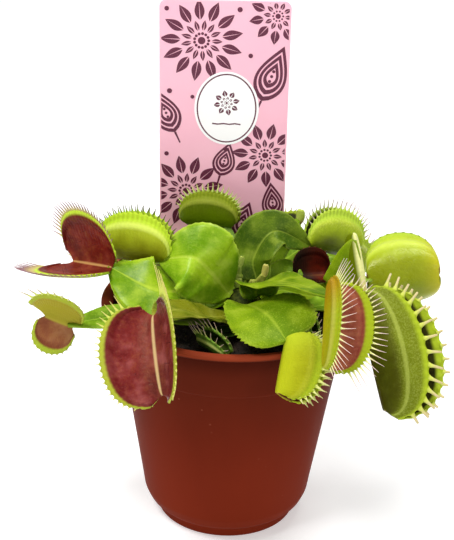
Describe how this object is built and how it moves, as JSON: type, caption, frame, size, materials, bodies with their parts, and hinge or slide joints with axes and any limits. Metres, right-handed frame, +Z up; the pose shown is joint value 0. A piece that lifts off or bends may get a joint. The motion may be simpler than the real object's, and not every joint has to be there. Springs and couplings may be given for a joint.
{
  "type": "potted venus flytrap",
  "caption": "Venus flytrap in a round terracotta-coloured nursery pot: a rosette of waved leaves ending in toothed two-lobed traps, with a printed card label standing behind.",
  "frame": {"origin": "middle of the pot's base, on the surface that the pot stands on", "axes": "+Z up along the pot's axis, the front of the plant faces -Y, +X is to the right seen from the front"},
  "size_m": [0.1451, 0.1457, 0.1772],
  "materials": {
    "pot_plastic": "smooth terracotta-coloured plastic",
    "peat": "moist crumbly dark peat",
    "label_card": "stiff printed pink card",
    "rhizome": "pale fleshy plant base",
    "leaf": "waxy bright green leaf, some traps dark red inside"
  },
  "bodies": {
    "root": {"pot": "pot_plastic", "soil": "peat", "plant_label": "label_card", "crown": "rhizome", "leaf_upper_left": "leaf", "leaf_back_left": "leaf", "leaf_back_centre": "leaf", "leaf_back_right": "leaf", "leaf_right_slim": "leaf", "leaf_right_back": "leaf", "leaf_right_low": "leaf", "leaf_front_right": "leaf", "leaf_front": "leaf", "leaf_front_left": "leaf", "leaf_left_small": "leaf", "leaf_inner_right": "leaf", "leaf_inner_front": "leaf", "leaf_inner_low": "leaf", "leaf_young_left": "leaf", "leaf_young_right": "leaf", "leaf_bud": "leaf", "leaf_rear_left": "leaf", "leaf_rear_left_low": "leaf", "leaf_rear_centre": "leaf", "leaf_rear_right": "leaf"}
  },
  "joints": []
}
